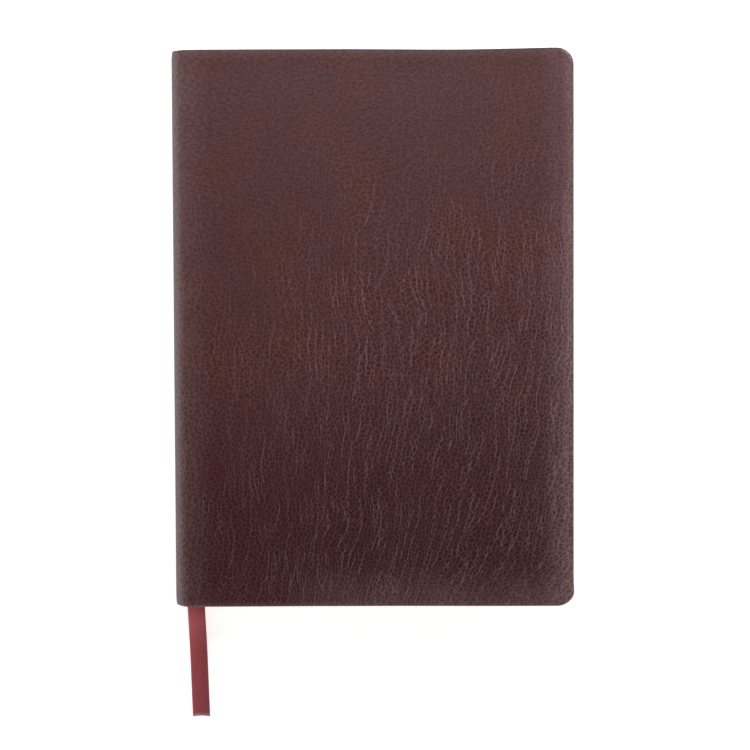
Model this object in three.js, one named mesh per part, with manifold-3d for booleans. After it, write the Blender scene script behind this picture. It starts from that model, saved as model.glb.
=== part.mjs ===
// A5 journal bound in leather, closed, lying on its back cover.
// Millimetres, +Z up, spine along -X, head of the pages towards +Y.
// The origin is the middle of the back cover's outer face.

import * as THREE from "three";
import { mergeVertices } from "three/addons/utils/BufferGeometryUtils.js";
import Module from "manifold-3d";

const wasm = await Module();
wasm.setup();

// Pages: folded sections of paper, cut to A5
const pageWidth = 148;
const pageHeight = 210;
const pageCornerRadius = 4;
const sectionThickness = 1;
const sectionGap = 0.03;
const frontSections = 6;
const backSections = 6;
const backRounding = 1;

// Endpapers: one leaf pasted to each board, one free leaf next to the pages
const endpaperThickness = 0.2;
const endpaperGap = 0.05;
const pastedownMargin = 2.5;

// Cover: leather drawn over boards and turned in on three sides
const foreEdgeSquare = 4.5;
const headSquare = 3;
const coverCornerRadius = 6.4;
const leatherThickness = 0.8;
const boardThickness = 1;
const turnInThickness = 0.4;
const turnInWidth = 14;
const turnInCornerRadius = 1;
const boardClearance = 0.2;

// Spine: the same leather, glued to the back of the pages and rounded into both covers
const spineSetback = 2.5;
const spineRadius = 5.5;
const jointFlat = 0.5;
const hingeGap = 0.3;
const liningThickness = 0.3;
const liningGap = 0.1;
const liningInset = 1;

// Head and tail bands
const bandRadius = 0.9;
const bandGap = 0.1;
const bandSetIn = 0.7;
const bandShortening = 0.4;

// Ribbon marker
const ribbonWidth = 6.8;
const ribbonThickness = 0.25;
const ribbonClearance = 0.05;
const ribbonInsetAtHead = 6.2;
const ribbonInsetAtTail = 7.6;

// The free tail of the ribbon: sideways shift, distance past the pages' tail edge, height over the table
const tailRoute = [
  [0, 0.3, 9.02],
  [0.02, 2, 8.98],
  [0.04, 4, 8.75],
  [0.08, 6, 8.2],
  [0.12, 8, 7.3],
  [0.15, 10, 6.1],
  [0.19, 12, 4.8],
  [0.23, 14, 3.55],
  [0.29, 16.5, 2.3],
  [0.35, 19, 1.35],
  [0.45, 22, 0.65],
  [0.58, 26, 0.25],
  [0.71, 30, 0.15],
  [0.87, 35, 0.15],
  [1.07, 41, 0.15],
  [1.34, 49.2, 0.15],
];

// How far a cutting shape reaches past what it cuts
const cutReach = 1;

// Sizes that follow from the ones above
const coverWidth = spineSetback + pageWidth + foreEdgeSquare;
const coverHeight = pageHeight + 2 * headSquare;
const wrapThickness = leatherThickness + boardThickness + turnInThickness;
const coverThickness = wrapThickness + endpaperThickness;
const flyleafSpace = endpaperThickness + 2 * endpaperGap;
const ribbonSpace = ribbonThickness + 2 * ribbonClearance;
const spineX = -coverWidth / 2;
const foreEdgeX = coverWidth / 2;
const jointX = spineX + spineRadius + jointFlat;
const backHeight = stackHeight(backSections);
const middleZ = coverThickness + flyleafSpace + backHeight + ribbonSpace / 2;
const frontTopZ = middleZ + ribbonSpace / 2 + stackHeight(frontSections);
const totalThickness = frontTopZ + flyleafSpace + coverThickness;
const blockBottomZ = coverThickness + flyleafSpace;

const finishes = {
  leather: new THREE.MeshStandardMaterial({ color: 0x5a3234, roughness: 0.55, metalness: 0 }),
  spineLeather: new THREE.MeshStandardMaterial({ color: 0x5f3739, roughness: 0.55, metalness: 0 }),
  board: new THREE.MeshStandardMaterial({ color: 0x9a8f80, roughness: 0.9, metalness: 0 }),
  endpaper: new THREE.MeshStandardMaterial({ color: 0xe6dcc6, roughness: 0.85, metalness: 0 }),
  page: new THREE.MeshStandardMaterial({ color: 0xf1ead8, roughness: 0.85, metalness: 0 }),
  lining: new THREE.MeshStandardMaterial({ color: 0xdcd6c8, roughness: 0.9, metalness: 0 }),
  band: new THREE.MeshStandardMaterial({ color: 0x8a3f45, roughness: 0.7, metalness: 0 }),
  ribbon: new THREE.MeshStandardMaterial({ color: 0x84404a, roughness: 0.5, metalness: 0 }),
};

function stackHeight(count) {
  return count * sectionThickness + (count - 1) * sectionGap;
}

function piece(name, geometry, material) {
  const mesh = new THREE.Mesh(geometry, material);
  mesh.name = name;
  return mesh;
}

function asSolid(geometry) {
  const bare = geometry.clone();
  bare.deleteAttribute("normal");
  bare.deleteAttribute("uv");
  const merged = mergeVertices(bare, 1e-5);
  const vertProperties = new Float32Array(merged.attributes.position.array);
  const triVerts = new Uint32Array(merged.index.array);
  return new wasm.Manifold(new wasm.Mesh({ numProp: 3, vertProperties, triVerts }));
}

function asGeometry(solid) {
  const mesh = solid.getMesh();
  const geometry = new THREE.BufferGeometry();
  geometry.setAttribute("position", new THREE.BufferAttribute(new Float32Array(mesh.vertProperties), 3));
  geometry.setIndex(new THREE.BufferAttribute(new Uint32Array(mesh.triVerts), 1));
  geometry.computeVertexNormals();
  return geometry;
}

// A sheet seen from above: square corners on the spine side, rounded corners at the fore edge
function sheetOutline(left, right, halfHeight, radius) {
  const shape = new THREE.Shape();
  shape.moveTo(left, -halfHeight);
  shape.lineTo(right - radius, -halfHeight);
  shape.absarc(right - radius, -halfHeight + radius, radius, -Math.PI / 2, 0);
  shape.lineTo(right, halfHeight - radius);
  shape.absarc(right - radius, halfHeight - radius, radius, 0, Math.PI / 2);
  shape.lineTo(left, halfHeight);
  shape.closePath();
  return shape;
}

function slab(left, right, halfHeight, radius, bottom, top) {
  const outline = sheetOutline(left, right, halfHeight, radius);
  const settings = { depth: top - bottom, bevelEnabled: false, curveSegments: 8 };
  return new THREE.ExtrudeGeometry(outline, settings).translate(0, 0, bottom);
}

// A section across the spine, drawn in x and z, run along y over the given length
function alongSpine(profile, length) {
  const settings = { depth: length, bevelEnabled: false, curveSegments: 10 };
  return new THREE.ExtrudeGeometry(profile, settings).rotateX(Math.PI / 2).translate(0, length / 2, 0);
}

// Where the fold of a section stands: the back of the pages is slightly rounded
function foldX(z) {
  const half = Math.max(middleZ - blockBottomZ, frontTopZ - middleZ);
  const off = (z - middleZ) / half;
  return spineX + spineSetback - backRounding * (1 - off * off);
}

function sectionGeometry() {
  const radius = sectionThickness / 2;
  const fold = new THREE.Shape();
  fold.moveTo(radius, 0);
  fold.lineTo(pageWidth, 0);
  fold.lineTo(pageWidth, sectionThickness);
  fold.lineTo(radius, sectionThickness);
  fold.absarc(radius, radius, radius, Math.PI / 2, (3 * Math.PI) / 2);
  fold.closePath();
  const folded = asSolid(alongSpine(fold, pageHeight));
  const trimmed = asSolid(slab(0, pageWidth, pageHeight / 2, pageCornerRadius, 0, sectionThickness));
  return asGeometry(folded.intersect(trimmed));
}

function sectionName(number) {
  return "section_" + String(number).padStart(2, "0");
}

function sections(firstNumber, count, topZ) {
  const geometry = sectionGeometry();
  const stack = [];
  for (let i = 0; i < count; i++) {
    const bottom = topZ - (i + 1) * sectionThickness - i * sectionGap;
    const section = piece(sectionName(firstNumber + i), geometry, finishes.page);
    section.position.set(foldX(bottom + sectionThickness / 2), 0, bottom);
    stack.push(section);
  }
  return stack;
}

// The leather of one cover, face down at z = 0: a sheet, an edge round the board, and turn-ins
function coverLeatherGeometry() {
  const boardSpace = slab(
    jointX - cutReach, foreEdgeX - leatherThickness,
    coverHeight / 2 - leatherThickness, coverCornerRadius - leatherThickness,
    leatherThickness, leatherThickness + boardThickness,
  );
  const window = slab(
    jointX - cutReach, foreEdgeX - turnInWidth, coverHeight / 2 - turnInWidth, turnInCornerRadius,
    leatherThickness, wrapThickness + cutReach,
  );
  const whole = slab(jointX, foreEdgeX, coverHeight / 2, coverCornerRadius, 0, wrapThickness);
  return asGeometry(asSolid(whole).subtract(asSolid(boardSpace)).subtract(asSolid(window)));
}

// The board, with the card that fills the space between the turn-ins
function boardGeometry() {
  const edge = leatherThickness + boardClearance;
  const left = jointX + boardClearance;
  const board = slab(
    left, foreEdgeX - edge, coverHeight / 2 - edge, coverCornerRadius - leatherThickness,
    leatherThickness, leatherThickness + boardThickness,
  );
  const inset = turnInWidth + boardClearance;
  const card = slab(
    left, foreEdgeX - inset, coverHeight / 2 - inset, turnInCornerRadius,
    leatherThickness + boardThickness / 2, wrapThickness,
  );
  return asGeometry(asSolid(board).add(asSolid(card)));
}

function pastedownGeometry() {
  const radius = coverCornerRadius - pastedownMargin;
  return slab(
    jointX + boardClearance, foreEdgeX - pastedownMargin, coverHeight / 2 - pastedownMargin, radius,
    wrapThickness, coverThickness,
  );
}

// One cover, drawn as the lower one; the upper one is the same three pieces turned over
function cover(side) {
  const group = new THREE.Group();
  group.add(
    piece(side + "_cover_leather", coverLeatherGeometry(), finishes.leather),
    piece(side + "_cover_board", boardGeometry(), finishes.board),
    piece(side + "_pastedown", pastedownGeometry(), finishes.endpaper),
  );
  return group;
}

function flyleaf(side, bottom) {
  const left = jointX + boardClearance;
  const right = spineX + spineSetback + pageWidth;
  const leaf = slab(left, right, pageHeight / 2, pageCornerRadius, bottom, bottom + endpaperThickness);
  return piece(side + "_flyleaf", leaf, finishes.endpaper);
}

// Half of the spine leather, from the fold in its middle round the quarter bend to the joint.
// Drawn as the lower half: the bend starts level with the back cover's outer face.
function spineLeatherGeometry(height) {
  const outer = spineRadius;
  const inner = spineRadius - leatherThickness;
  const end = jointX - hingeGap;
  const centre = spineX + spineRadius;
  const profile = new THREE.Shape();
  profile.moveTo(end, 0);
  profile.lineTo(end, leatherThickness);
  profile.lineTo(centre, leatherThickness);
  profile.absarc(centre, outer, inner, -Math.PI / 2, -Math.PI, true);
  profile.lineTo(spineX + leatherThickness, height);
  profile.lineTo(spineX, height);
  profile.lineTo(spineX, outer);
  profile.absarc(centre, outer, outer, -Math.PI, -Math.PI / 2);
  profile.closePath();
  return alongSpine(profile, coverHeight);
}

// The cloth glued to the folds, curved like them
function liningGeometry() {
  const bottom = blockBottomZ + liningInset;
  const top = frontTopZ - liningInset;
  const steps = 10;
  const profile = new THREE.Shape();
  for (let i = 0; i <= steps; i++) {
    const z = bottom + ((top - bottom) * i) / steps;
    const x = foldX(z) - liningGap;
    if (i === 0) profile.moveTo(x, z);
    else profile.lineTo(x, z);
  }
  for (let i = steps; i >= 0; i--) {
    const z = bottom + ((top - bottom) * i) / steps;
    profile.lineTo(foldX(z) - liningGap - liningThickness, z);
  }
  profile.closePath();
  return alongSpine(profile, pageHeight);
}

// A corded band that stands on the head or tail of the folds
function band(name, end) {
  const length = frontTopZ - blockBottomZ - 2 * bandShortening;
  const roll = new THREE.CylinderGeometry(bandRadius, bandRadius, length, 12).rotateX(Math.PI / 2);
  const bead = piece(name, roll, finishes.band);
  const x = spineX + spineSetback + bandSetIn;
  const y = end * (pageHeight / 2 + bandGap + bandRadius);
  bead.position.set(x, y, (frontTopZ + blockBottomZ) / 2);
  return bead;
}

// A flat strip carried along points in the y and z direction, its width along x
function stripGeometry(points, width, thickness) {
  const vertices = [];
  points.forEach((point, i) => {
    const before = points[Math.max(i - 1, 0)];
    const after = points[Math.min(i + 1, points.length - 1)];
    const along = new THREE.Vector3().subVectors(after, before).normalize();
    const side = new THREE.Vector3(1, 0, 0);
    const up = new THREE.Vector3().crossVectors(along, side).normalize();
    for (const [across, above] of [[-1, -1], [1, -1], [1, 1], [-1, 1]]) {
      const corner = point.clone();
      corner.addScaledVector(side, (across * width) / 2);
      corner.addScaledVector(up, (above * thickness) / 2);
      vertices.push(corner.x, corner.y, corner.z);
    }
  });
  const faces = [];
  for (let i = 0; i + 1 < points.length; i++) {
    for (let k = 0; k < 4; k++) {
      const a = 4 * i + k;
      const b = 4 * i + ((k + 1) % 4);
      faces.push(a, b, a + 4, b, b + 4, a + 4);
    }
  }
  const last = 4 * (points.length - 1);
  faces.push(0, 2, 1, 0, 3, 2, last, last + 1, last + 2, last, last + 2, last + 3);
  const geometry = new THREE.BufferGeometry();
  geometry.setAttribute("position", new THREE.Float32BufferAttribute(vertices, 3));
  geometry.setIndex(faces);
  geometry.computeVertexNormals();
  return geometry;
}

function ribbonInBook() {
  const half = pageHeight / 2;
  const points = [
    new THREE.Vector3(spineX + ribbonInsetAtHead, half, middleZ),
    new THREE.Vector3(spineX + ribbonInsetAtTail, -half, middleZ),
  ];
  return piece("ribbon", stripGeometry(points, ribbonWidth, ribbonThickness), finishes.ribbon);
}

function ribbonTail() {
  const points = tailRoute.map(([shift, out, height]) => {
    const y = -pageHeight / 2 - out;
    return new THREE.Vector3(spineX + ribbonInsetAtTail + shift, y, height);
  });
  return piece("ribbon_tail", stripGeometry(points, ribbonWidth, ribbonThickness), finishes.ribbon);
}

// Everything that stays with the pages under the ribbon
function backHalf() {
  const group = new THREE.Group();
  const spine = spineLeatherGeometry(middleZ - hingeGap / 2);
  group.add(
    piece("back_spine_leather", spine, finishes.spineLeather),
    piece("spine_lining", liningGeometry(), finishes.lining),
    band("headband", 1),
    band("tailband", -1),
    ...sections(frontSections + 1, backSections, middleZ - ribbonSpace / 2),
    ribbonInBook(),
    ribbonTail(),
  );
  return group;
}

// Everything that turns with the pages over the ribbon
function frontHalf() {
  const group = new THREE.Group();
  const height = totalThickness - middleZ - hingeGap / 2;
  const spine = piece("front_spine_leather", spineLeatherGeometry(height), finishes.spineLeather);
  spine.rotation.x = Math.PI;
  spine.position.z = totalThickness;
  group.add(spine, ...sections(1, frontSections, frontTopZ));
  return group;
}

const journal = new THREE.Group();
const frontCover = cover("front");
frontCover.rotation.x = Math.PI;
frontCover.position.z = totalThickness;
journal.add(
  cover("back"),
  flyleaf("back", coverThickness + endpaperGap),
  backHalf(),
  frontHalf(),
  flyleaf("front", frontTopZ + endpaperGap),
  frontCover,
);

export default journal;
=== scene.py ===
import math
from functools import partial

import bpy
import numpy as np
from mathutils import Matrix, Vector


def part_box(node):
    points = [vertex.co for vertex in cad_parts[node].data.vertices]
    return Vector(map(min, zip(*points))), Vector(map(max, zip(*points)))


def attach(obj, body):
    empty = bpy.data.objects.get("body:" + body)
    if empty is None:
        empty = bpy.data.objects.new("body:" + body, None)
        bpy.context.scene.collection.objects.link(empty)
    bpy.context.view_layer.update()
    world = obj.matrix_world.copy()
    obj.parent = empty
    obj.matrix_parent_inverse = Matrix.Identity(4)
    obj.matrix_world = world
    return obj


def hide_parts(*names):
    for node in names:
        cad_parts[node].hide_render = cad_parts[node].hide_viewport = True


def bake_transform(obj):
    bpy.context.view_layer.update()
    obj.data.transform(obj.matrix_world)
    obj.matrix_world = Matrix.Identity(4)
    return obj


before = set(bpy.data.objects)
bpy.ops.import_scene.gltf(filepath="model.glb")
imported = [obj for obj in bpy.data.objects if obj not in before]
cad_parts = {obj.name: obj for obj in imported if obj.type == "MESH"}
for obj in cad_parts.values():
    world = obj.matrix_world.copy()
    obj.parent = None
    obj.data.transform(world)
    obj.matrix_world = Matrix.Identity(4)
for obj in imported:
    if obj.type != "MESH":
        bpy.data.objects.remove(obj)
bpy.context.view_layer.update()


# Camera. It looks down on the closed journal from a metre and a half, leaning a little
# towards the head of the pages, so the head comes out slightly wider than the tail.
def shown(name, data):
    """A new object of the scene that shows the data."""
    thing = bpy.data.objects.new(name, data)
    bpy.context.scene.collection.objects.link(thing)
    return thing


cover_per_pixel = 0.0003870
image_pixels = 750
camera_reach = 1.5
aim_point = (0.0005, -0.01772, 0.018)
lean = math.radians(5.0)
roll = math.radians(-0.26)
camera_data = bpy.data.cameras.new("camera")
camera_data.sensor_width = 36
camera_data.lens = camera_data.sensor_width * camera_reach / (cover_per_pixel * image_pixels)
camera_data.clip_end = 20
camera = shown("camera", camera_data)
camera.rotation_euler = (-lean, 0, roll)
camera.location = (
    aim_point[0] - camera_reach * math.sin(lean) * math.sin(roll),
    aim_point[1] + camera_reach * math.sin(lean) * math.cos(roll),
    aim_point[2] + camera_reach * math.cos(lean),
)
bpy.context.scene.camera = camera


# The free tail of the ribbon marker: woven satin, nearly seven millimetres wide, that comes out
# from between the pages, hangs over the edge of the back cover and lies flat on the table.
def surface_mesh(name, points, quads, uv=None, uv_name=""):
    """A smooth sheet from arrays: points (n, 3), quads (m, 4) of point numbers, uv (n, 2) per point."""
    mesh = bpy.data.meshes.new(name)
    mesh.from_pydata(points.tolist(), [], quads.tolist())
    if uv is not None:
        layer = mesh.uv_layers.new(name=uv_name)
        corners = np.empty(len(mesh.loops), np.int32)
        mesh.loops.foreach_get("vertex_index", corners)
        layer.data.foreach_set("uv", uv[corners].astype(np.float32).ravel())
    mesh.polygons.foreach_set("use_smooth", np.ones(len(mesh.polygons), bool))
    mesh.update()
    return shown(name, mesh)


def grid_quads(rows, columns):
    """The faces of a grid of points numbered row by row."""
    corner = np.arange(rows - 1)[:, None] * columns + np.arange(columns - 1)[None, :]
    corner = corner.ravel()
    return np.stack([corner, corner + 1, corner + columns + 1, corner + columns], axis=1)


def steps_along(line):
    """The way along a line of points up to each of them."""
    return np.r_[0, np.cumsum(np.linalg.norm(np.diff(line, axis=0), axis=1))]


def smooth_line(knots, samples):
    """A curve through the knots, cubic between them, at even steps of the knots' own spacing."""
    knots = np.asarray(knots, float)
    spacing = steps_along(knots)
    slopes = np.gradient(knots, spacing, axis=0)
    at = np.linspace(0, spacing[-1], samples)
    i = np.clip(np.searchsorted(spacing, at, side="right") - 1, 0, len(knots) - 2)
    width = (spacing[i + 1] - spacing[i])[:, None]
    t = ((at - spacing[i])[:, None]) / width
    start, end = knots[i], knots[i + 1]
    return (
        (2 * t**3 - 3 * t**2 + 1) * start + (t**3 - 2 * t**2 + t) * width * slopes[i]
        + (3 * t**2 - 2 * t**3) * end + (t**3 - t**2) * width * slopes[i + 1]
    )


strip_columns = 17
cut_sharpness = 12


def strip(name, line, width, arch=0.0, cut=0.0, beyond=0.0):
    """A flat strip along a line that runs in y and z, its width along x.

    A point is the line's point, plus the share across (from -1 to 1) times half the width along x,
    plus an arch along the normal that falls with the share's square from the middle to the sides. The
    last rows are drawn back by cut in the middle, as scissors leave a ribbon's end. The UV holds the
    way across and the way left to the cut end, of which beyond lies past the end of the line.
    """
    share = np.linspace(-1, 1, strip_columns)
    middle = 1 - share**2
    along = np.gradient(line, axis=0)
    along /= np.linalg.norm(along, axis=1)[:, None]
    normal = np.stack([np.zeros(len(line)), -along[:, 2], along[:, 1]], axis=1)
    normal[normal[:, 2] < 0] *= -1
    points = line[:, None, :] + np.zeros((1, strip_columns, 3))
    points[:, :, 0] += share * width / 2
    points += normal[:, None, :] * (arch * middle)[None, :, None]
    last = np.linspace(0, 1, len(line)) ** cut_sharpness
    points += along[:, None, :] * (-cut * last[:, None] * middle)[:, :, None]
    length = steps_along(line)
    to_cut = beyond + length[-1] - length
    uv = np.stack(np.broadcast_arrays(share[None, :] * width / 2, to_cut[:, None]), axis=-1)
    quads = grid_quads(len(line), strip_columns)
    return surface_mesh(name, points.reshape(-1, 3), quads, uv.reshape(-1, 2), "weave")


def thicken(piece, thickness, offset=0.0):
    """Gives a sheet its thickness, measured along its normal."""
    modifier = piece.modifiers.new("thickness", "SOLIDIFY")
    modifier.thickness = thickness
    modifier.offset = offset
    modifier.use_even_offset = True
    return piece


ribbon_width = 0.0068
ribbon_thickness = 0.00025
ribbon_low, ribbon_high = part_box("ribbon")
tail_exit_x = ribbon_high[0] - ribbon_width / 2
tail_edge_y = ribbon_low[1]
tail_route_mm = [
    (0, 0.3, 9.02), (0.02, 2, 8.98), (0.04, 4, 8.75), (0.08, 6, 8.2), (0.12, 8, 7.3),
    (0.15, 10, 6.1), (0.19, 12, 4.8), (0.23, 14, 3.55), (0.29, 16.5, 2.3), (0.35, 19, 1.35),
    (0.45, 22, 0.65), (0.58, 26, 0.25), (0.71, 30, 0.15), (0.87, 35, 0.15), (1.07, 41, 0.15),
    (1.34, 49.2, 0.15),
]
tail_route = [
    (tail_exit_x + shift / 1000, tail_edge_y - out / 1000, height / 1000)
    for shift, out, height in tail_route_mm
]
tail_line = smooth_line(tail_route, 150)
tail_length = float(steps_along(tail_line)[-1])
ribbon_tail = strip("ribbon_tail_weave", tail_line, ribbon_width, arch=0.0004, cut=0.0004)
thicken(ribbon_tail, ribbon_thickness)


def put(tree, kind, settings=None, inputs=None):
    """Adds a node to a tree. Each input is a constant or the socket that feeds it."""
    node = tree.nodes.new(kind)
    for name, value in (settings or {}).items():
        setattr(node, name, value)
    for name, value in (inputs or {}).items():
        socket = node.inputs[name]
        if isinstance(value, bpy.types.NodeSocket):
            tree.links.new(value, socket)
        else:
            socket.default_value = value
    return node


def reckon(tree, operation, *terms):
    """One step of arithmetic on numbers that vary over a surface."""
    return put(tree, "ShaderNodeMath", {"operation": operation}, dict(enumerate(terms))).outputs[0]


def product(tree, first, *others):
    """The product of numbers that vary over a surface."""
    for other in others:
        first = reckon(tree, "MULTIPLY", first, other)
    return first


def total(tree, first, *others):
    """The sum of numbers that vary over a surface."""
    for other in others:
        first = reckon(tree, "ADD", first, other)
    return first


def ramp(tree, value, low, high, at_low=0.0, at_high=1.0):
    """Goes smoothly from at_low, where value is low, to at_high, where it is high."""
    node = put(
        tree, "ShaderNodeMapRange", {"interpolation_type": "SMOOTHSTEP"},
        {"Value": value, "From Min": low, "From Max": high, "To Min": at_low, "To Max": at_high},
    )
    return node.outputs["Result"]


def noise(tree, place, scale, detail=2.0, output="Fac", dimensions="2D", **more):
    """Smooth noise over a plane or in space, 0 to 1."""
    inputs = {"Vector": place, "Scale": scale, "Detail": detail, **more}
    return put(tree, "ShaderNodeTexNoise", {"noise_dimensions": dimensions}, inputs).outputs[output]


def axes_of(tree, place):
    """The x, y and z of a place."""
    return put(tree, "ShaderNodeSeparateXYZ", None, {0: place}).outputs


def tint(tree, share, low, high):
    """A colour between low and high by share."""
    return put(tree, "ShaderNodeMix", {"data_type": "RGBA"}, {0: share, 6: low, 7: high}).outputs[2]


def layered(tree, colour, *layers):
    """Tints a colour towards each layer's colour in turn, by the layer's share."""
    for share, layer in layers:
        colour = tint(tree, share, colour, layer)
    return colour


def finish_of(name, **principled):
    """A material with a Principled shader, and its tree and shader node."""
    material = bpy.data.materials.new(name)
    material.use_nodes = True
    tree = material.node_tree
    shader = tree.nodes["Principled BSDF"]
    for key, value in principled.items():
        shader.inputs[key.replace("_", " ").title().replace("Ior", "IOR")].default_value = value
    return material, tree, shader


def cover_with(tree, shader, colour, height, strength, distance):
    """Gives a material its colour, and a relief whose height of 1 stands out by the distance."""
    tree.links.new(colour, shader.inputs["Base Color"])
    relief = put(
        tree, "ShaderNodeBump", None, {"Strength": strength, "Distance": distance, "Height": height},
    )
    tree.links.new(relief.outputs[0], shader.inputs["Normal"])


def node_group(name, inputs, outputs):
    """An empty node group, the sockets that bring its inputs, and those that take its outputs."""
    group = bpy.data.node_groups.new(name, "ShaderNodeTree")
    for socket_name, kind in inputs.items():
        group.interface.new_socket(name=socket_name, in_out="INPUT", socket_type="NodeSocket" + kind)
    for socket_name in outputs:
        group.interface.new_socket(name=socket_name, in_out="OUTPUT", socket_type="NodeSocketFloat")
    return group, put(group, "NodeGroupInput").outputs, put(group, "NodeGroupOutput").inputs


# Woven cloth, used by the ribbon and the spine lining: threads cross at the given angle, and Height
# and Shade follow them. Place is in metres on the cloth.
weave, given, result = node_group(
    "crossed_threads",
    {"Place": "Vector", "Threads per metre": "Float", "Slant": "Float", "Crossing": "Float",
     "Unevenness": "Float"},
    ("Height", "Shade"),
)
turned = put(
    weave, "ShaderNodeVectorRotate", {"rotation_type": "Z_AXIS"},
    {"Vector": given["Place"], "Angle": given["Slant"]},
).outputs[0]
thread_place = put(
    weave, "ShaderNodeVectorMath", {"operation": "SCALE"},
    {0: turned, "Scale": given["Threads per metre"]},
).outputs[0]
wobble = noise(weave, thread_place, 0.6)
warp, weft = [
    reckon(weave, "SINE", reckon(weave, "MULTIPLY_ADD", wobble, 1.4, product(weave, axis, math.tau)))
    for axis in axes_of(weave, thread_place)[:2]
]
crossing = reckon(weave, "MULTIPLY_ADD", weft, given["Crossing"], warp)
height = reckon(weave, "MULTIPLY_ADD", crossing, 0.38, 0.5)
uneven = product(weave, reckon(weave, "SUBTRACT", wobble, 0.5), given["Unevenness"])
weave.links.new(height, result["Height"])
weave.links.new(total(weave, height, uneven), result["Shade"])


def threads(tree, per_metre, slant, crossing, unevenness):
    """Crossed threads in a material whose UV map is the weave: the place, their height and shade."""
    place = put(tree, "ShaderNodeUVMap", {"uv_map": "weave"}).outputs[0]
    group = put(
        tree, "ShaderNodeGroup", {"node_tree": weave},
        {"Place": place, "Threads per metre": per_metre, "Slant": slant, "Crossing": crossing,
         "Unevenness": unevenness},
    )
    return place, group.outputs["Height"], group.outputs["Shade"]


# The satin is paler along both selvages, has a painted highlight at the cut, and is darker over its last few
# centimetres.
satin, tree, shader = finish_of(
    "wine_red_satin", roughness=0.6, sheen_weight=0.1, sheen_roughness=0.4, specular_ior_level=0.25,
)
place, height, shade = threads(tree, 1180.0, slant=math.radians(62), crossing=0.05, unevenness=0.5)
across, to_cut = axes_of(tree, place)[:2]
ribbon_dark, ribbon_mid = (0.37, 0.060, 0.071, 1), (0.50, 0.098, 0.113, 1)
selvage_pale, ribbon_end_darker, cut_painted_highlight = (0.52, 0.14, 0.16, 1), (0.20, 0.05, 0.055, 1), (0.56, 0.29, 0.29, 1)
from_middle = reckon(tree, "ABSOLUTE", across)
colour = layered(
    tree, ribbon_dark,
    (ramp(tree, shade, 0.1, 0.95), ribbon_mid),
    (ramp(tree, from_middle, ribbon_width * 0.44, ribbon_width * 0.485, 0, 0.5), selvage_pale),
    (ramp(tree, to_cut, 0.0, 0.034, 0.42, 0.0), ribbon_end_darker),
    # Painted highlight at the cut end, where the end would curl up to the light.
    (ramp(tree, to_cut, 0.0002, 0.0016, 0.7, 0.0), cut_painted_highlight),
)
cover_with(tree, shader, colour, height, strength=0.35, distance=0.00012)
ribbon_tail.data.materials.append(satin)
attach(ribbon_tail, "back_pages")
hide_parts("ribbon_tail")

# The stretch of the ribbon between the pages: the same strip, flat, held at the head of the spine.
head_x = ribbon_low[0] + ribbon_width / 2
mark_height = (ribbon_low[2] + ribbon_high[2]) / 2
mark_line = np.linspace(
    (head_x, ribbon_high[1], mark_height), (tail_exit_x, tail_edge_y, mark_height), 90,
)
ribbon_mark = strip("ribbon_weave", mark_line, ribbon_width, beyond=tail_length)
thicken(ribbon_mark, ribbon_thickness)
ribbon_mark.data.materials.append(satin)
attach(ribbon_mark, "back_pages")
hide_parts("ribbon")

# Front cover leather. One hide is drawn over the board, rolled round its three edges and turned in,
# and runs on over the joint and half way down the spine. Run is the way over it from the fore edge.
leather_low, leather_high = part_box("front_cover_leather")
fore_edge_x, half_length, top_z = leather_high
joint_x = leather_low[0]
spine_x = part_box("front_spine_leather")[0][0]
corner_radius = 0.0064
spine_radius = 0.0055
wrap_depth = leather_high[2] - leather_low[2]
turn_in = 0.014
spine_turn_in = 0.0026
hide_thickness = 0.00055
flat_run = fore_edge_x - (spine_x + spine_radius)
bend_run = spine_radius * math.pi / 2
spine_flat = top_z - 2 * spine_radius
seam_run = flat_run + bend_run + spine_flat / 4
whole_girth = 2 * (flat_run + bend_run) + spine_flat
fore_crown, fore_crown_reach = 0.0009, 0.013
head_crown, head_crown_reach = 0.0003, 0.004
spine_edge_radius, spine_edge_reach = 0.0006, 0.005
spine_end_setback = 0.0005
swell_seed, swell_count, swell_share, swell_level = 7, 9, 0.0008, 0.9


def ease(value, low, high):
    """0 below low, 1 above high, smooth between."""
    t = np.clip((value - low) / (high - low), 0, 1)
    return t * t * (3 - 2 * t)


def girth(run):
    """Where the outer face is at a distance run from the fore edge, and which way it faces.

    Flat across the cover, then a quarter circle round the spine's edge, then straight down.
    """
    turn = np.clip((run - flat_run) / spine_radius, 0, math.pi / 2)
    down = np.clip(run - flat_run - bend_run, 0, None)
    x = fore_edge_x - np.minimum(run, flat_run) - spine_radius * np.sin(turn)
    z = top_z - spine_radius * (1 - np.cos(turn)) - down
    return x, z, -np.sin(turn), np.cos(turn)


def crown(run, inset):
    """How far the face falls towards the fore edge (run) and towards the head and tail (inset)."""
    fore = fore_crown * np.clip(1 - run / fore_crown_reach, 0, 1) ** 2
    ends = head_crown * np.clip(1 - inset / head_crown_reach, 0, 1) ** 2
    return np.hypot(fore, ends)


def roll_radius(run):
    """The radius of the rolled edge: half of what is left of the cover's thickness, less at the spine."""
    cover_edge = (wrap_depth - crown(run, 0)) / 2
    return cover_edge + (spine_edge_radius - cover_edge) * ease(run, flat_run - spine_edge_reach, flat_run)


def length_at(run):
    """Half the length of the hide: the capped ends of the spine stand back a little."""
    return half_length - spine_end_setback * ease(run, flat_run - 0.001, flat_run + bend_run)


def unevenness(run, y):
    """Slow swells of a few hundredths of a millimetre: a sum of seeded plane waves."""
    draw = np.random.default_rng(swell_seed)
    swells = np.zeros(np.broadcast(run, y).shape)
    for _ in range(swell_count):
        heading = draw.uniform(-0.6, 0.6)
        wave = draw.uniform(0.014, 0.05)
        phase = draw.uniform(0, math.tau)
        across = run * math.cos(heading) + y * math.sin(heading)
        swells += (np.cos(across * math.tau / wave + phase) - swell_level) * wave * swell_share
    return swells


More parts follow.
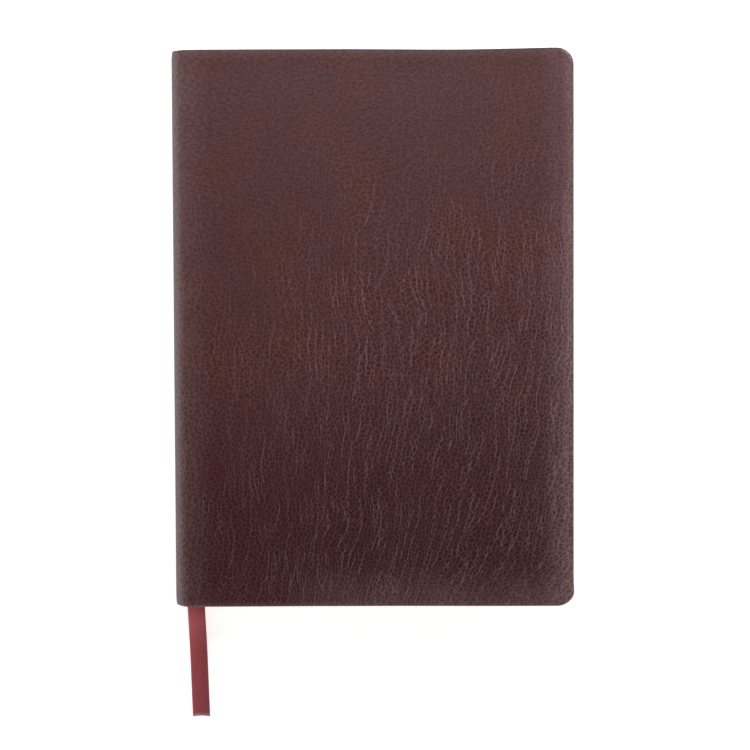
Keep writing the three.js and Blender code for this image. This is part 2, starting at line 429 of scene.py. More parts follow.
def hide_grid(runs, with_fore_edge, swell):
    """The outer face and its edges, down to the widest line of the roll: run, y and lift.

    A point of the face is the girth's point at its run, moved along the normal by the crown, the
    roll of the nearest edge and the swells. At the fore edge the two corners are quarter circles:
    each row starts where its circle does. A stretch without a fore edge is a metre from it.
    """
    past_sides = half_length - corner_radius
    bend = past_sides + corner_radius * np.sin(np.linspace(0, math.pi / 2, 19))
    straight = np.linspace(-past_sides, past_sides, 150)
    y_rows = np.r_[-bend[::-1], straight[1:-1], bend]
    up_the_corner = np.clip(np.abs(y_rows) - past_sides, 0, None)
    start = corner_radius - np.sqrt(np.clip(corner_radius**2 - up_the_corner**2, 0, None))
    start = (start * with_fore_edge)[:, None]
    run = start + runs[None, :] * (runs[-1] - start) / runs[-1]
    y = y_rows[:, None] * length_at(run) / half_length
    inset = length_at(run) - np.abs(y)
    from_fore = run if with_fore_edge else run + 1
    inner_run, inner_end = corner_radius - from_fore, corner_radius - inset
    in_corner = (inner_run > 0) & (inner_end > 0)
    edge = np.where(
        in_corner, corner_radius - np.hypot(inner_run, inner_end), np.minimum(from_fore, inset),
    )
    edge = np.clip(edge, 0, None)
    radius = roll_radius(run)
    roll_drop = radius - np.sqrt(np.clip(radius**2 - np.clip(radius - edge, 0, None) ** 2, 0, None))
    swell_here = swell * ease(edge, 0.001, 0.009) * (1 - ease(run, flat_run, seam_run))
    lift = unevenness(run, y) * swell_here - crown(from_fore, inset) - roll_drop
    return run, y, lift


# How far the edges of the hide stand out from straight: the place along the edge in millimetres, and
# the way out there in hundredths of a millimetre. The corner at the tail is squarer than a circle.
head_edge = [
    (-75, 5), (-45, 9), (-25, 5), (-9, 3), (6, -11), (22, -27), (37, -32), (48, -14), (60, 6), (67, 22),
    (77, 33),
]
tail_edge = [(-75, 15), (-25, 11), (10, 15), (35, 29), (50, 35), (77, 40)]
tail_corner = [(-108, 0), (-107, 15), (-104.5, 42), (-102, 20), (-99, 0)]


def way_out(where, edge):
    """How far an edge stands out at a place, read in a straight line between its measured places."""
    along, out = np.array(edge, float).T
    return np.interp(where, along / 1e3, out / 1e5)


def placed(run, y, lift):
    """The point that stands lift above the outer face at run and y.

    The head and tail edges' way out grows with the squared way from the middle. The tail corner's
    grows over the last few millimetres before the fore edge.
    """
    x, z, facing_x, facing_z = girth(run)
    x = x + way_out(y, tail_corner) * ease(x, 0.064, 0.073)
    out = np.where(y > 0, way_out(x, head_edge), -way_out(x, tail_edge))
    y = y + out * (y / half_length) ** 2
    return np.stack([x + facing_x * lift, y, z + facing_z * lift], axis=-1)


roll_angles = np.radians([22, 45, 68, 90])
turn_in_shares = (0.15, 0.45, 1.0)
turn_in_soft = 0.002


def rim_strip(run_edge, y_edge, out_run, out_y, depth_edge):
    """The rolled edge below its widest line and the turn-in, as rows that start at the edge's points.

    The roll goes on round a half circle, and then flat under the cover to the inner rim. The rim is a
    rectangle with rounded corners, and its side at the spine is narrow.
    """
    radius = roll_radius(run_edge)
    rows_run, rows_y, rows_lift = [], [], []
    for angle in roll_angles:
        back = radius * (1 - math.cos(angle))
        rows_run.append(run_edge - out_run * back)
        rows_y.append(y_edge - out_y * back)
        rows_lift.append(-(depth_edge + radius * math.sin(angle)))
    reach = turn_in + (spine_turn_in - turn_in) * ease(run_edge, flat_run - 0.006, flat_run - 0.001)
    goal_run = np.maximum(run_edge, 0)
    goal_y = np.sign(y_edge) * np.minimum(np.abs(y_edge), length_at(run_edge) - reach)
    past_rim = turn_in + turn_in_soft
    corner = (run_edge < past_rim) & (np.abs(y_edge) > half_length - past_rim)
    on_fore = (np.abs(out_run) > 0) & ~corner
    goal_run = np.where(on_fore, turn_in, goal_run)
    goal_y = np.where(on_fore, y_edge, goal_y)
    for side in (-1, 1):
        picked = np.flatnonzero(corner & (np.sign(y_edge) == side))
        steps = np.linspace(0, math.pi / 2, len(picked))[::-side]
        goal_run[picked] = past_rim - turn_in_soft * np.sin(steps)
        goal_y[picked] = side * (half_length - past_rim + turn_in_soft * np.cos(steps))
    under = np.where(run_edge < flat_run, wrap_depth, depth_edge + radius)
    under = under + (2 * radius - under) * ease(run_edge, flat_run - spine_edge_reach, flat_run)
    first_run, first_y = rows_run[-1], rows_y[-1]
    for share in turn_in_shares:
        rows_run.append(first_run + (goal_run - first_run) * share)
        rows_y.append(first_y + (goal_y - first_y) * share)
        rows_lift.append(-under)
    return np.array(rows_run), np.array(rows_y), np.array(rows_lift)


def hide_piece(name, runs, with_fore_edge, underside=False, swell=1.0):
    """Makes one stretch of the hide as an object: the face, and a rim along each free edge.

    The rim leaves an edge point outwards: away from the circle's middle in the corners, and straight
    elsewhere. The underside is the same stretch turned over.
    """
    run, y, lift = hide_grid(runs, with_fore_edge, swell)
    number = np.arange(run.size).reshape(run.shape)
    points = [placed(run, y, lift).reshape(-1, 3)]
    flat_place = [np.stack([run, y], axis=-1).reshape(-1, 2)]
    quads = [grid_quads(*run.shape)]
    if with_fore_edge:
        edges = [np.r_[number[0, ::-1], number[1:-1, 0], number[-1, :]]]
    else:
        edges = [number[0, ::-1], number[-1, :]]
    count = run.size
    for edge in edges:
        run_edge, y_edge, depth_edge = run.ravel()[edge], y.ravel()[edge], -lift.ravel()[edge]
        side_run = np.clip(corner_radius - run_edge, 0, None)
        side_y = np.clip(np.abs(y_edge) - (half_length - corner_radius), 0, None)
        size = np.maximum(np.hypot(side_run, side_y), 1e-9)
        on_fore = run_edge < corner_radius
        out_run = np.where(on_fore, -side_run / size, 0)
        out_y = np.sign(y_edge) * np.where(on_fore, side_y / size, 1)
        more_run, more_y, more_lift = rim_strip(run_edge, y_edge, out_run, out_y, depth_edge)
        points.append(placed(more_run, more_y, more_lift).reshape(-1, 3))
        flat_place.append(np.stack([more_run, more_y], axis=-1).reshape(-1, 2))
        rows = np.vstack([edge[None, :], count + np.arange(more_run.size).reshape(more_run.shape)])
        a, b = rows[:-1, :-1].ravel(), rows[:-1, 1:].ravel()
        c, d = rows[1:, 1:].ravel(), rows[1:, :-1].ravel()
        quads.append(np.stack([a, b, c, d], axis=1))
        count += more_run.size
    points, quads, flat_place = np.vstack(points), np.vstack(quads), np.vstack(flat_place)
    across = fore_edge_x - flat_place[:, 0]
    if underside:
        points[:, 2] = top_z - points[:, 2]
        across = fore_edge_x - (whole_girth - flat_place[:, 0])
    else:
        quads = quads[:, ::-1]
    piece = surface_mesh(name, points, quads, np.stack([across, flat_place[:, 1]], axis=1), "grain")
    return thicken(piece, hide_thickness, -1.0)


near_edge = np.array([0, 0.08, 0.18, 0.3, 0.45, 0.65, 0.9, 1.2, 1.6, 2.1, 2.8, 3.6, 4.6]) / 1000
over_cover = np.linspace(0.0058, flat_run - 0.0006, 100)
round_spine = np.linspace(flat_run, seam_run, 20)
cover_runs = np.r_[near_edge, over_cover, round_spine]
front_leather = hide_piece("front_leather", cover_runs, True)


def vector_reckon(tree, operation, first, second):
    """One step of arithmetic on vectors."""
    return put(tree, "ShaderNodeVectorMath", {"operation": operation}, {0: first, 1: second}).outputs[0]


def length_of(tree, vector):
    """The length of a vector."""
    return put(tree, "ShaderNodeVectorMath", {"operation": "LENGTH"}, {0: vector}).outputs["Value"]


def drift(tree, vector, scale, reach):
    """Pushes each place aside by noise: up to half the reach each way."""
    push = vector_reckon(tree, "SUBTRACT", noise(tree, vector, scale, output="Color"), (0.5, 0.5, 0.5))
    return vector_reckon(tree, "ADD", vector, vector_reckon(tree, "MULTIPLY", push, reach))


def cells(tree, vector, feature, randomness):
    """A Voronoi pattern on a plane."""
    node = put(
        tree, "ShaderNodeTexVoronoi", {"voronoi_dimensions": "2D", "feature": feature},
        {"Vector": vector, "Scale": 1.0, "Randomness": randomness},
    )
    return node.outputs


def seams(tree, place, size, line, level, randomness):
    """Lines along the borders of cells of that size; how far each place is from its cell's middle; and
    a shade of its own for each cell.

    Upright borders are widest: the distance to the border is divided by the share of the way between
    the two nearest middles that runs across, which counts as level at least.
    """
    scaled = vector_reckon(tree, "DIVIDE", place, (*size, 1.0))
    nearest, second = cells(tree, scaled, "F1", randomness), cells(tree, scaled, "F2", randomness)
    way = vector_reckon(tree, "SUBTRACT", second["Position"], nearest["Position"])
    way = put(tree, "ShaderNodeVectorMath", {"operation": "NORMALIZE"}, {0: way}).outputs[0]
    upright = reckon(tree, "MAXIMUM", reckon(tree, "ABSOLUTE", axes_of(tree, way)[0]), level)
    to_border = cells(tree, scaled, "DISTANCE_TO_EDGE", randomness)["Distance"]
    to_border = reckon(tree, "DIVIDE", to_border, upright)
    own_shade = put(tree, "ShaderNodeSeparateColor", None, {0: nearest["Color"]}).outputs[0]
    return ramp(tree, to_border, 0.0, line, 1.0, 0.0), nearest["Distance"], own_shade


# Full-grain leather: rounded pebbles under two millimetres wide, drawn into upright rows by long fine
# wrinkles. These bow: below the middle they lean by a share of the squared way down, which is largest
# on the fore side. Place is in millimetres on the hide.
pebbles, given, result = node_group(
    "pebbled_hide", {"Place": "Vector"}, ("Seam", "Depth", "Wrinkle", "Patch", "Mottle", "Height"),
)
place = drift(pebbles, given["Place"], 0.016, (16, 0, 0))
axes = axes_of(pebbles, place)
down = reckon(pebbles, "MINIMUM", axes[1], 0.0)
bow = product(pebbles, down, down, ramp(pebbles, axes[0], -40, 40, 0.0006, 0.0024))
bowed_x = total(pebbles, axes[0], bow)
bowed = put(pebbles, "ShaderNodeCombineXYZ", None, {0: bowed_x, 1: axes[1]}).outputs[0]
pebble_place = drift(pebbles, bowed, 0.3, (2.0, 2.0, 0))
seam, from_middle, own_shade = seams(
    pebbles, pebble_place, size=(1.7, 1.6), line=0.1, level=0.36, randomness=0.9,
)
wrinkle_place = drift(pebbles, drift(pebbles, bowed, 0.05, (4.0, 0, 0)), 0.35, (0.6, 0, 0))
wrinkle = seams(pebbles, wrinkle_place, size=(2.7, 24.0), line=0.066, level=0.07, randomness=0.8)[0]
# Both come and go in long upright patches, and the wrinkles fade over the middles of the pebbles.
stretched = vector_reckon(pebbles, "MULTIPLY", bowed, (1.0, 0.11, 0.0))
kept = ramp(pebbles, noise(pebbles, stretched, 0.42), 0.38, 0.64)
off_middle = ramp(pebbles, from_middle, 0.15, 0.5, 0.5, 1.0)
wrinkle = product(pebbles, wrinkle, ramp(pebbles, kept, 0.1, 0.7), off_middle)
seam = product(pebbles, seam, ramp(pebbles, kept, 0.0, 1.0, 0.55, 1.0))
# The dark middles of the pebbles, each with a shade of its own: painted shade, which the relief's height
# follows too.
dark_middle = ramp(pebbles, from_middle, 0.10, 0.58, 1.0, 0.0)
dark = product(pebbles, dark_middle, ramp(pebbles, own_shade, 0.0, 1.0, 0.5, 1.0))
patch = ramp(pebbles, noise(pebbles, place, 0.045, 3.0), 0.42, 0.66)
flattened = vector_reckon(pebbles, "MULTIPLY", place, (1.0, 1.3, 0.0))
mottle = ramp(pebbles, noise(pebbles, flattened, 0.75), 0.36, 0.64)
fold = reckon(pebbles, "MAXIMUM", seam, wrinkle)
height = reckon(pebbles, "MULTIPLY_ADD", fold, -0.5, product(pebbles, dark, 0.5))
made = {"Seam": seam, "Depth": dark, "Wrinkle": wrinkle, "Patch": patch, "Mottle": mottle, "Height": height}
for socket_name, value in made.items():
    pebbles.links.new(value, result[socket_name])

# Oxblood dye over that grain. Across and upward are shares that change with x and y, which are in
# millimetres on the front cover: the fore edge is at 77.5, the head at 108 and the tail at -108.
hide_base, hide_dark = (0.085, 0.0265, 0.0250, 1), (0.018, 0.0036, 0.0045, 1)
hide_red, hide_painted_shade = (0.102, 0.0250, 0.0195, 1), (0.062, 0.0085, 0.0105, 1)
hide_painted_sheen, hide_painted_haze = (0.190, 0.100, 0.102, 1), (0.080, 0.055, 0.058, 1)
hide_painted_reflection, hide_rub_and_highlight = (0.165, 0.145, 0.150, 1), (0.42, 0.35, 0.36, 1)
line_painted_glint, line_painted_glint_bright = (0.225, 0.122, 0.126, 1), (0.33, 0.225, 0.23, 1)
leather, tree, shader = finish_of("oxblood_leather", roughness=0.5, specular_ior_level=0.3)
place = put(tree, "ShaderNodeUVMap", {"uv_map": "grain"}).outputs[0]
place = vector_reckon(tree, "MULTIPLY", place, (1000.0, 1000.0, 0.0))
grain = put(tree, "ShaderNodeGroup", {"node_tree": pebbles}, {"Place": place}).outputs
hide_x, hide_y = axes_of(tree, place)[:2]
across, upward = partial(ramp, tree, hide_x), partial(ramp, tree, hide_y)
# The hide is smoother at the head and by the spine, and more deeply marked towards the tail.
by_height = total(tree, upward(-30, 95, 0.72, 0.0), upward(-105, -20, 0.25, 0.0), 0.36)
by_chance = ramp(tree, noise(tree, place, 0.05, 3.0), 0.35, 0.65, 0.84, 1.12)
worn = product(tree, by_height, across(-60, 40, 0.6, 1.0), by_chance)
worn = reckon(tree, "MINIMUM", worn, 1.05)
# Painted highlights: paler bands over the spine's edge and the fore edge, where the glare is, and a little at
# the head and tail, in patches. The head's very edge is darker.
fore_painted_glare = reckon(tree, "POWER", across(60.0, 72.0, 0.0, 0.6), 2.0)
fore_painted_glare = total(tree, fore_painted_glare, across(71.8, 77.5, 0.0, 0.95), across(45.0, 66.0, 0.0, 0.04))
fore_painted_glare = product(tree, fore_painted_glare, upward(-110, 90, 1.5, 0.8))
spine_painted_sheen = across(-74.0, -61.0, 0.36, 0.0)
head_painted_sheen = upward(101.5, 107.0, 0.0, 0.07)
tail_painted_sheen = product(tree, upward(-106, -90, 0.36, 0.0), across(-38, -8, 0.1, 1.2), across(20, 50, 1.0, 0.8))
tail_painted_sheen = total(tree, tail_painted_sheen, upward(-108, -105, 0.42, 0.0))
in_places = ramp(tree, noise(tree, place, 0.06), 0.3, 0.7, 0.8, 1.15)
painted_edge_sheen = product(tree, total(tree, fore_painted_glare, spine_painted_sheen, head_painted_sheen, tail_painted_sheen), in_places)
head_rim_dark = product(tree, upward(106.9, 108.0, 0.0, 0.62), across(-45, -10, 0.7, 1.0))
# What the grain adds: painted shade in the pebbles, and painted highlights along their seams and the wrinkles.
# Painted shade: darker towards the tail, less so towards the fore edge.
painted_tail_shade = product(tree, upward(-75, -10, 1.0, 0.0), across(-10, 70, 1.0, 0.6))
# Painted shade: a fine dark mottle, strongest where the hide is smoothest.
mottle_painted_shade = product(tree, grain["Mottle"], ramp(tree, worn, 0.1, 0.8, 0.42, 0.15))
# Painted shade in the middles of the pebbles, deeper where the hide is more marked.
painted_pebble_shade = product(tree, grain["Depth"], worn, across(58, 75, 0.8, 0.5), upward(-108, -92, 0.6, 1.0))
seam_share = reckon(tree, "MULTIPLY_ADD", fore_painted_glare, 0.25, ramp(tree, worn, 0.1, 0.9, 0.0, 0.66))
seam_share = product(tree, grain["Seam"], seam_share, across(-75, -15, 0.75, 1.0))
wrinkle_share = product(tree, ramp(tree, worn, 0.18, 0.95, 0.0, 0.95), across(-70, -15, 0.3, 1.0))
wrinkle_share = product(tree, grain["Wrinkle"], wrinkle_share)
# Painted highlights along the seams and wrinkles, palest towards the fore edge.
painted_line_glints = reckon(tree, "MAXIMUM", seam_share, wrinkle_share)
# The two corners are pale on the round, in broken scratches: worn by rubbing, and a painted highlight that is
# stronger towards the head.
mirrored = put(tree, "ShaderNodeCombineXYZ", None, {0: hide_x, 1: reckon(tree, "ABSOLUTE", hide_y)}).outputs[0]
corner_centre = (1000 * (fore_edge_x - corner_radius), 1000 * (half_length - corner_radius), 0.0)
from_centre = vector_reckon(tree, "SUBTRACT", mirrored, corner_centre)
from_centre = vector_reckon(tree, "MAXIMUM", from_centre, (0.0, 0.0, 0.0))
corner_axes = axes_of(tree, from_centre)
on_the_round = ramp(tree, reckon(tree, "MINIMUM", corner_axes[0], corner_axes[1]), 0.5, 3.5)
scratches = ramp(tree, noise(tree, place, 0.9, 3.0), 0.38, 0.62, 0.2, 0.7)
corner_rub_and_highlight = product(
    tree, ramp(tree, length_of(tree, from_centre), 4.9, 6.3), on_the_round, scratches,
    upward(-100, 100, 0.45, 1.0),
)
colour = layered(
    tree, hide_base,
    (product(tree, grain["Patch"], 0.5), hide_red),
    (painted_tail_shade, hide_painted_shade),
    (painted_edge_sheen, hide_painted_sheen),
    # Painted haze of the head lamp's sheen: paler and greyer towards the head.
    (upward(0.0, 100.0, 0.0, 0.16), hide_painted_haze),
    # Painted reflection over the round of the spine's edge.
    (across(-78.0, -71.0, 0.34, 0.0), hide_painted_reflection),
    (mottle_painted_shade, hide_dark),
    (painted_pebble_shade, hide_dark),
    (painted_line_glints, tint(tree, fore_painted_glare, line_painted_glint, line_painted_glint_bright)),
    (head_rim_dark, hide_dark),
    (corner_rub_and_highlight, hide_rub_and_highlight),
)
relief_height = product(tree, grain["Height"], reckon(tree, "MULTIPLY_ADD", worn, 0.6, 0.3))
cover_with(tree, shader, colour, relief_height, strength=1.0, distance=0.0002)
tree.links.new(ramp(tree, grain["Depth"], 0.0, 1.0, 0.5, 0.42), shader.inputs["Roughness"])
front_leather.data.materials.append(leather)
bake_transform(front_leather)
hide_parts("front_cover_leather")


def fold_with_spine(piece, slot, *nodes):
    """Bakes a piece's placement into its mesh, and hides the parts it stands for."""
    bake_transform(piece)
    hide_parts(*nodes)


spine_leather = hide_piece("spine_leather", np.linspace(seam_run, whole_girth - seam_run, 15), False)
spine_leather.data.materials.append(leather)
fold_with_spine(spine_leather, "spine_leather", "front_spine_leather", "back_spine_leather")

# Back cover leather: the other half of the hide, the same turned over. The journal lies on it, so
# its face is flatter.
back_leather = hide_piece("back_leather", cover_runs, True, underside=True, swell=0.3)
back_leather.data.materials.append(leather)
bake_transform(back_leather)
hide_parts("back_cover_leather")


# Cover boards: grey pulp board, hidden between the leather and the pasted endpaper.
def dress(names, material):
    """Gives carried-over parts their material."""
    for name in names:
        for slot in bpy.data.objects[name].material_slots:
            slot.material = material


def object_place(tree):
    """Object coordinates, in metres."""
    return put(tree, "ShaderNodeTexCoord").outputs["Object"]


greyboard, tree, shader = finish_of("grey_pulp_board", roughness=0.95)
fleck = noise(tree, object_place(tree), 900.0, 4.0, dimensions="3D", Roughness=0.7)
colour = tint(tree, ramp(tree, fleck, 0.3, 0.7), (0.20, 0.18, 0.15, 1), (0.36, 0.33, 0.28, 1))
cover_with(tree, shader, colour, fleck, strength=0.3, distance=0.0001)
dress(("front_cover_board", "back_cover_board"), greyboard)

# Endpapers: a leaf pasted over each board and its turn-ins, and the free leaf next to the pages, both
# of heavy cream paper. One folded sheet in life: the pasted half goes on over the joint, under the
# leather, and the free half is tipped to the first page by its root.
fibre, given, result = node_group("paper_fibre", {"Place": "Vector"}, ("Cloud", "Height"))
stretched = vector_reckon(fibre, "MULTIPLY", given["Place"], (1.0, 0.35, 1.0))
fibre.links.new(noise(fibre, given["Place"], 160.0, 3.0, dimensions="3D"), result["Cloud"])
fibre.links.new(noise(fibre, stretched, 2600.0, 4.0, dimensions="3D"), result["Height"])


def paper(name, low, high):
    """Uncoated paper: cloudy between two tones, with a fibrous surface."""
    material, tree, shader = finish_of(name, roughness=0.85, specular_ior_level=0.25)
    sheet = put(tree, "ShaderNodeGroup", {"node_tree": fibre}, {"Place": object_place(tree)}).outputs
    shade = reckon(tree, "MULTIPLY_ADD", sheet["Height"], 0.5, product(tree, sheet["Cloud"], 0.5))
    colour = tint(tree, ramp(tree, shade, 0.3, 0.7), low, high)
    cover_with(tree, shader, colour, sheet["Height"], strength=0.25, distance=0.00005)
    return material


endpaper = paper("cream_endpaper", (0.70, 0.62, 0.49, 1), (0.79, 0.72, 0.59, 1))
dress(("front_pastedown", "back_pastedown", "front_flyleaf", "back_flyleaf"), endpaper)
endpaper_thickness = 0.00016


def endpaper_strip(name, line, side):
    """A strip of endpaper as long as the pages, its cross-section a line in x and z.

    The line is drawn for the front cover; for the back cover it is the same turned over.
    """
    low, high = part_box(side + "_flyleaf")
    y = np.linspace(low[1], high[1], 9)
    z = line[:, 2] if side == "front" else top_z - line[:, 2]
    points = np.stack(np.broadcast_arrays(line[None, :, 0], y[:, None], z[None, :]), axis=-1)
    quads = grid_quads(len(y), len(line))
    if side == "back":
        quads = quads[:, ::-1]
    piece = thicken(surface_mesh(name, points.reshape(-1, 3), quads), endpaper_thickness)
    piece.data.materials.append(endpaper)
    return piece


pasted_low, pasted_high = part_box("front_pastedown")
free_low, free_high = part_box("front_flyleaf")
pasted_z, free_z = (pasted_low[2] + pasted_high[2]) / 2, (free_low[2] + free_high[2]) / 2
under_hide = 0.00014
inner_radius = spine_radius - hide_thickness - under_hide
inside_spine = [
    (spine_x + spine_radius - inner_radius * math.sin(angle), 0,
     top_z - spine_radius + inner_radius * math.cos(angle))
    for angle in np.radians([18, 30, 42, 54])
]
past_board, root_turn = (pasted_low[0] - 0.00002, 0, pasted_z), (joint_x - 0.0002, 0, pasted_z + 0.0001)
over_joint = smooth_line([past_board, root_turn, *inside_spine], 30)
root_x = spine_x + 0.0028
to_root = smooth_line(
    [(free_low[0] - 0.0002, 0, free_z), (root_x, 0, free_z), (root_x - 0.0002, 0, free_z - 0.0001)], 14,
)
front_joint = endpaper_strip("front_endpaper_joint", over_joint, "front")
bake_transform(front_joint)
back_joint = endpaper_strip("back_endpaper_joint", over_joint, "back")
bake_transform(back_joint)
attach(endpaper_strip("front_endpaper_root", to_root, "front"), "front_pages")
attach(endpaper_strip("back_endpaper_root", to_root, "back"), "back_pages")

# Pages: twelve folded sections of eight leaves, sewn through the fold and cut on three sides. The
# cut leaves lie a few hundredths of a millimetre apart, and the corners of the fore edge are round.
page_corner = 0.004
leaves = 8
steps_per_leaf = 4
fold_rounding = 0.00035
leaf_groove = 0.00005
leaf_trim = 0.00006
groove_sharpness = 6


def stacked_rings(name, points, smooth):
    """A closed piece from rings of points, one over the other: points (rings, around, 3)."""
    rings, around = points.shape[:2]
    ring = np.arange(around)
    following = (ring + 1) % around
    base = (np.arange(rings - 1) * around)[:, None]
    quads = [base + ring, base + following, base + around + following, base + around + ring]
    faces = np.stack(quads, axis=-1).reshape(-1, 4).tolist()
    faces += [ring[::-1].tolist(), ((rings - 1) * around + ring).tolist()]
    mesh = bpy.data.meshes.new(name)
    mesh.from_pydata(points.reshape(-1, 3).tolist(), [], faces)
    mesh.polygons.foreach_set("use_smooth", np.full(len(mesh.polygons), smooth))
    mesh.update()
    return shown(name, mesh)


def section_block(name, seed):
    """One section. Its outline is a rectangle with two quarter circles, walked once round.

    It is repeated at four steps in each leaf, pulled inwards between the leaves by the groove and
    by each leaf's own seeded trim. Along the fold it is pulled in by an ellipse's edge instead.
    """
    low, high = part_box(name)
    turn = page_corner * np.sin(np.linspace(0, math.pi / 2, 13))
    side = page_corner * np.cos(np.linspace(0, math.pi / 2, 13))
    centre_x, centre_y = high[0] - page_corner, (low[1] + page_corner, high[1] - page_corner)
    tail_arc = np.stack([centre_x + turn, centre_y[0] - side], axis=1)
    head_arc = np.stack([centre_x + side, centre_y[1] + turn], axis=1)
    along, across = np.linspace(low[1], high[1], 40), np.linspace(low[0], centre_x, 24)
    tail_side = np.stack([across, np.full(24, low[1])], axis=1)[:-1]
    head_side = np.stack([across[::-1], np.full(24, high[1])], axis=1)[1:]
    fold_side = np.stack([np.full(40, low[0]), along[::-1]], axis=1)[1:-1]
    outline = np.vstack([tail_side, tail_arc, head_arc, head_side, fold_side])
    way = np.roll(outline, -1, axis=0) - np.roll(outline, 1, axis=0)
    inward = np.stack([-way[:, 1], way[:, 0]], axis=1)
    inward /= np.linalg.norm(inward, axis=1)[:, None]
    on_fold = outline[:, 0] <= low[0] + 1e-9
    inward[on_fold] = (1, 0)
    level = np.linspace(0, leaves, leaves * steps_per_leaf + 1)
    leaf = np.minimum(level.astype(int), leaves - 1)
    trim = np.random.default_rng(seed).uniform(0, leaf_trim, leaves)
    pull = trim[leaf] + leaf_groove * np.abs(np.cos(math.pi * (level - leaf))) ** groove_sharpness
    round_share = np.clip(level / leaves * 2 - 1, -1, 1)
    fold_pull = fold_rounding * (1 - np.sqrt(1 - round_share**2)) + leaf_groove / 2
    moved = np.where(on_fold[None, :], fold_pull[:, None], pull[:, None])
    flat = outline[None, :, :] + inward[None, :, :] * moved[:, :, None]
    z = low[2] + (high[2] - low[2]) * level / leaves
    points = np.concatenate([flat, np.broadcast_to(z[:, None, None], flat.shape[:2] + (1,))], axis=2)
    return stacked_rings(name + "_leaves", points, False)


page = paper("ivory_page", (0.80, 0.74, 0.61, 1), (0.86, 0.81, 0.69, 1))
for number in range(1, 13):
    name = "section_%02d" % number
    piece = section_block(name, number)
    piece.data.materials.append(page)
    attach(piece, "front_pages" if number <= 6 else "back_pages")
    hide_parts(name)

# Spine lining: an open cotton cloth glued over the folds of the sections, inside the leather. Across
# the spine it is a flat parabola, open towards the pages.
lining_low, lining_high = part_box("spine_lining")
lining_thickness, lining_clearance = 0.00022, 0.0003
rise = np.linspace(-1, 1, 41)
rounding = lining_high[0] - lining_low[0] - lining_clearance
lining_x = lining_low[0] + lining_thickness / 2 + rounding * rise**2
lining_z = (lining_low[2] + lining_high[2]) / 2 + (lining_high[2] - lining_low[2]) / 2 * rise
lining_y = np.linspace(lining_low[1], lining_high[1], 30)
lining_points = np.broadcast_arrays(lining_x[None, :], lining_y[:, None], lining_z[None, :])
lining_points = np.stack(lining_points, axis=-1).reshape(-1, 3)
lining = surface_mesh(
    "spine_lining_cloth", lining_points, grid_quads(len(lining_y), len(lining_x)),
    lining_points[:, [2, 1]], "weave",
)
thicken(lining, lining_thickness)
mull, tree, shader = finish_of("unbleached_lining_cloth", roughness=0.9)
_, height, shade = threads(tree, 1200.0, slant=0.0, crossing=0.9, unevenness=0.6)
colour = tint(tree, ramp(tree, shade, 0.1, 0.9), (0.52, 0.47, 0.38, 1), (0.78, 0.73, 0.62, 1))
cover_with(tree, shader, colour, height, strength=0.6, distance=0.0002)
lining.data.materials.append(mull)
fold_with_spine(lining, "lining", "spine_lining")

# Head and tail bands: a cord wrapped in silk, wine red and cream by turns of two, glued across each
# end of the spine, where it fills the corner between the pages and the leather.
wrap_pitch = 0.00055
wrap_depth_share = 0.09
band_round = 0.0003
band_rings, band_around = 260, 32
silk, tree, shader = finish_of("two_colour_silk", roughness=0.5, sheen_weight=0.2)
band_turn = reckon(tree, "DIVIDE", axes_of(tree, object_place(tree))[2], wrap_pitch * 4)
band_turn = reckon(tree, "FRACT", band_turn)
red_share = product(tree, ramp(tree, band_turn, 0.0, 0.04), ramp(tree, band_turn, 0.5, 0.54, 1, 0))
colour = tint(tree, red_share, (0.72, 0.66, 0.53, 1), (0.20, 0.035, 0.042, 1))
strand = noise(tree, object_place(tree), 5000.0, dimensions="3D")
cover_with(tree, shader, colour, strand, strength=0.3, distance=0.00005)


def wrapped_band(node):
    """A round bead. Its radius swells and sinks once for each turn of the silk, and closes at the ends."""
    low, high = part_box(node)
    radius = (high[1] - low[1]) / 2
    z = np.linspace(low[2], high[2], band_rings)
    swell = 1 - wrap_depth_share * (1 - np.abs(np.sin(math.pi * z / wrap_pitch)))
    to_end = np.clip(1 - np.minimum(z - low[2], high[2] - z) / band_round, 0, 1)
    close = np.sqrt(np.clip(1 - to_end**2, 1e-4, 1))
    angle = np.linspace(0, math.tau, band_around + 1)[:-1]
    size = (radius * swell * close)[:, None]
    x = (low[0] + high[0]) / 2 + size * np.cos(angle)[None, :]
    y = (low[1] + high[1]) / 2 + size * np.sin(angle)[None, :]
    points = np.stack(np.broadcast_arrays(x, y, z[:, None]), axis=-1)
    piece = stacked_rings(node + "_silk", points, True)
    piece.data.materials.append(silk)
    fold_with_spine(piece, "band", node)


wrapped_band("headband")
wrapped_band("tailband")

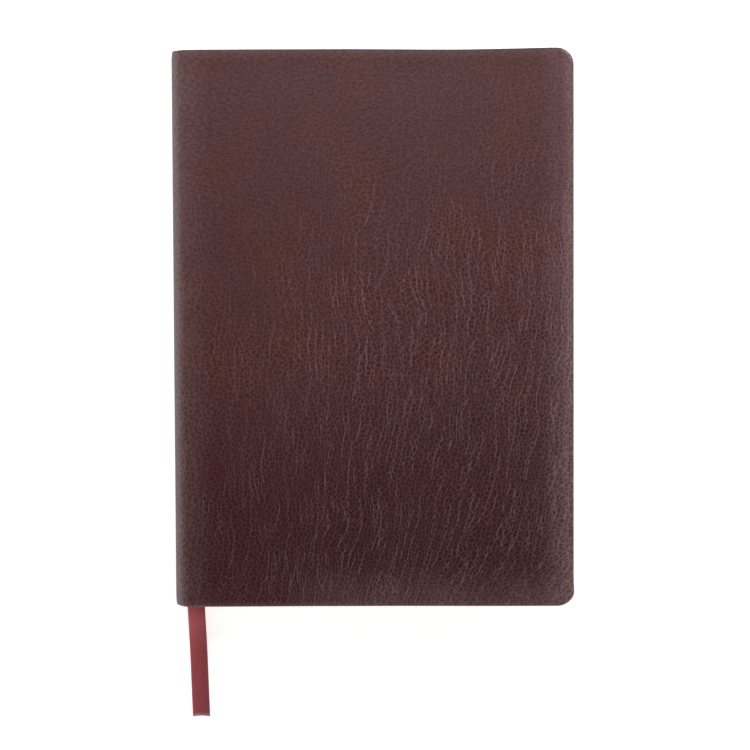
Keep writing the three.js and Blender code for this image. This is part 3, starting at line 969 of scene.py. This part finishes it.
# Light: one soft lamp beyond the head of the journal, a weaker one on each side and past the tail,
# and an even white room. The light falls off from head to tail, and the rounded edges mirror the sides.
bpy.context.scene.view_settings.view_transform = "Standard"
world = bpy.data.worlds.new("white_room")
bpy.context.scene.world = world
world.use_nodes = True
room = world.node_tree.nodes["Background"]
room.inputs["Color"].default_value = (1, 1, 1, 1)
room.inputs["Strength"].default_value = 0.16


def lamp(name, place, aim, size, watts):
    """A rectangular lamp that faces the point it is aimed at."""
    data = bpy.data.lights.new(name, "AREA")
    data.shape = "RECTANGLE"
    data.size, data.size_y = size
    data.energy = watts
    way = np.array(aim) - np.array(place)
    level = math.hypot(way[0], way[1])
    light = shown(name, data)
    light.location = place
    light.rotation_euler = (math.atan2(level, -way[2]), 0, math.atan2(way[1], way[0]) - math.pi / 2)


lamp("head_lamp", (0, 0.26, 0.24), (0, 0.05, 0), (0.45, 0.3), 1.27)
lamp("spine_lamp", (-0.6, -0.22, 0.09), (-0.05, -0.1, 0), (0.85, 0.16), 2.6)
lamp("fore_edge_lamp", (0.62, -0.08, 0.13), (0, -0.03, 0), (0.7, 0.2), 1.8)
lamp("tail_lamp", (-0.25, -0.75, 0.16), (-0.05, -0.12, 0), (0.4, 0.2), 1.3)

# The table: a plain white surface. It keeps the soft shadow of the journal, and glows only where it is
# seen, so that it adds no light to the journal.
floor_reach = 4.0
corner_signs = np.array([(-1, -1, 0), (1, -1, 0), (1, 1, 0), (-1, 1, 0)])
floor = surface_mesh("table", corner_signs * floor_reach, np.array([[0, 1, 2, 3]]))
white, tree, shader = finish_of(
    "white_table", base_color=(0.93, 0.93, 0.93, 1), roughness=0.9, specular_ior_level=0.1,
    emission_color=(1, 1, 1, 1),
)
rays = put(tree, "ShaderNodeLightPath").outputs
seen = reckon(tree, "MAXIMUM", rays["Is Camera Ray"], rays["Is Glossy Ray"])
seen = reckon(tree, "MAXIMUM", seen, rays["Is Transmission Ray"])
glow = product(tree, seen, ramp(tree, length_of(tree, object_place(tree)), 0.3, 1.3, 0.66, 0.9))
tree.links.new(glow, shader.inputs["Emission Strength"])
floor.data.materials.append(white)
